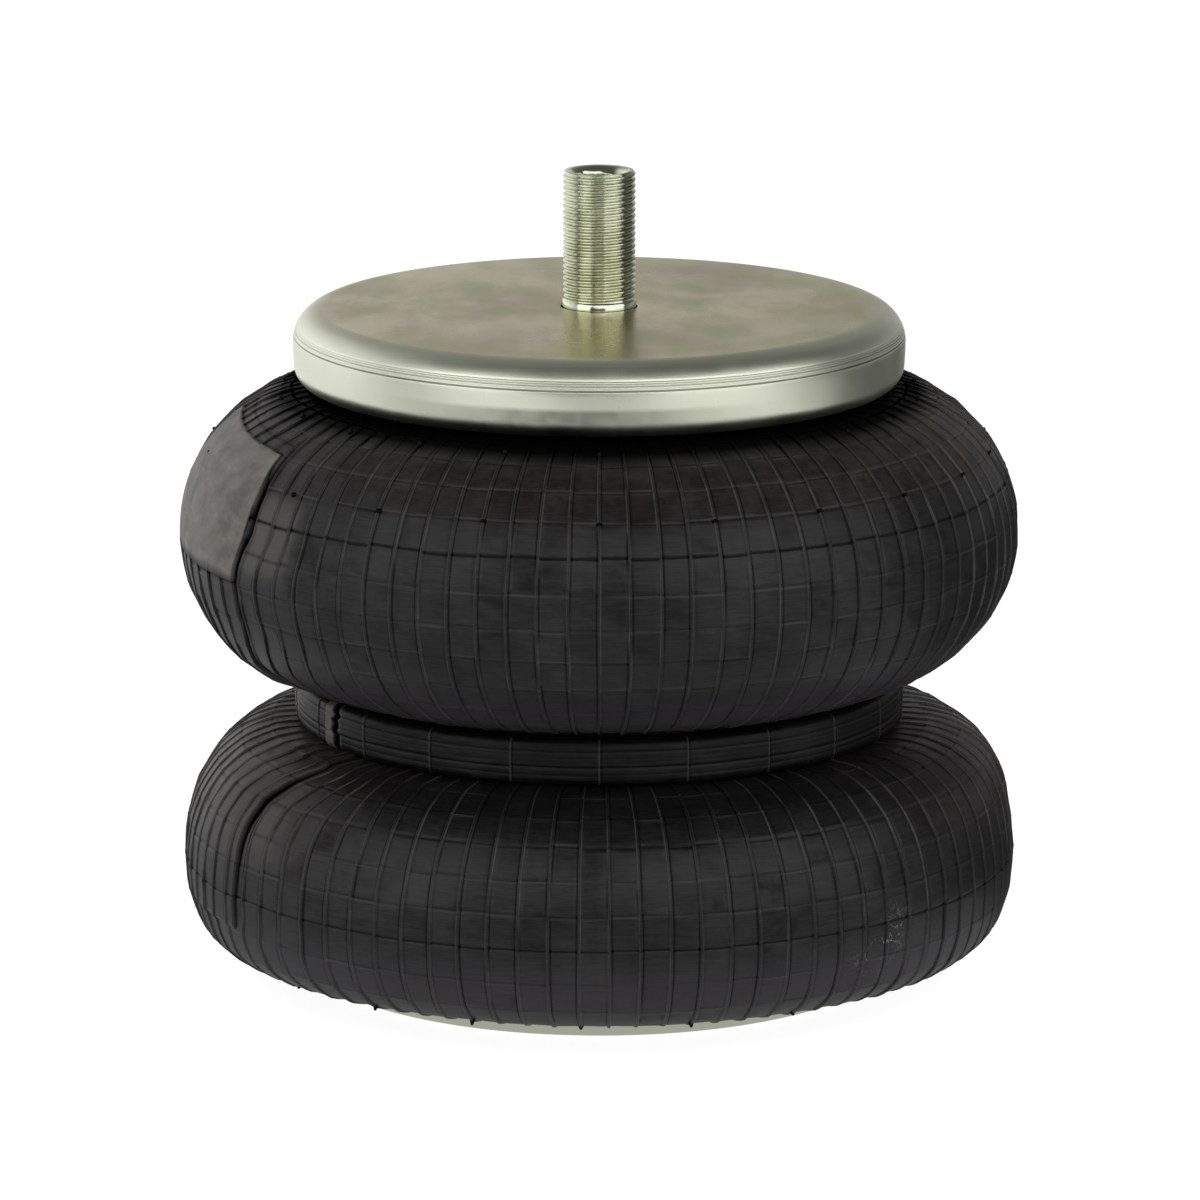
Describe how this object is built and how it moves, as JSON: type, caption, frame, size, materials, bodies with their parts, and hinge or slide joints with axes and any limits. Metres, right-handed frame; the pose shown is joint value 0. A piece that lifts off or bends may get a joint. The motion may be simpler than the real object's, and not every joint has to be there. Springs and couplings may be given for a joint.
{
  "type": "double convoluted air suspension spring",
  "caption": "Rubber air spring with stacked round convolutions, a girdle hoop at its waist, crimped steel bead plates and a central threaded air stud.",
  "frame": {"origin": "centre of the flat underside of the bottom bead plate", "axes": "+Z is the spring's axis, from the bottom plate up along the stud; +X runs from one blind nut of the bottom plate to the other"},
  "size_m": [0.2204, 0.2204, 0.2119],
  "materials": {
    "zinc_plate": "zinc plated sheet steel, satin, with faint olive and pink chromate",
    "zinc_stud": "machined steel, yellow-green zinc plate, glossy",
    "nut_steel": "zinc plated steel, satin",
    "bead_wire": "bronze coated drawn wire",
    "bead_rubber": "hard moulded rubber, matte",
    "cover_rubber": "moulded rubber with a fine rib net, satin",
    "cord_ply": "rubberised nylon cord, matte",
    "liner_rubber": "smooth airtight rubber, satin",
    "hoop_rubber": "moulded rubber strip, satin"
  },
  "bodies": {
    "bottom_end": {"bottom_bead_plate": "zinc_plate", "blind_nut_left": "nut_steel", "blind_nut_right": "nut_steel", "lower_bead_filler": "bead_rubber", "lower_bead_wire": "bead_wire", "lower_outer_cover": "cover_rubber", "lower_outer_ply": "cord_ply", "lower_inner_ply": "cord_ply", "lower_inner_liner": "liner_rubber"},
    "girdle": {"girdle_hoop_cover": "hoop_rubber", "girdle_hoop_wire": "bead_wire"},
    "top_end": {"top_bead_plate": "zinc_plate", "combination_stud": "zinc_stud", "upper_bead_filler": "bead_rubber", "upper_bead_wire": "bead_wire", "upper_outer_cover": "cover_rubber", "upper_outer_ply": "cord_ply", "upper_inner_ply": "cord_ply", "upper_inner_liner": "liner_rubber"}
  },
  "joints": [
    {"name": "lower_stroke", "type": "slide", "parent": "bottom_end", "child": "girdle", "axis": [0, 0, 1], "range_m": [-0.028, 0.022], "stiffness_N_per_m": 6500, "springref_m": 0.0023, "deforming": ["lower_outer_cover", "lower_outer_ply", "lower_inner_ply", "lower_inner_liner"]},
    {"name": "upper_stroke", "type": "slide", "parent": "girdle", "child": "top_end", "axis": [0, 0, 1], "range_m": [-0.045, 0.0355], "stiffness_N_per_m": 4000, "springref_m": 0.0037, "deforming": ["upper_outer_cover", "upper_outer_ply", "upper_inner_ply", "upper_inner_liner"]}
  ],
  "couplings": [
    {"joint": "upper_stroke", "follows": "lower_stroke", "ratio": 1.6}
  ]
}
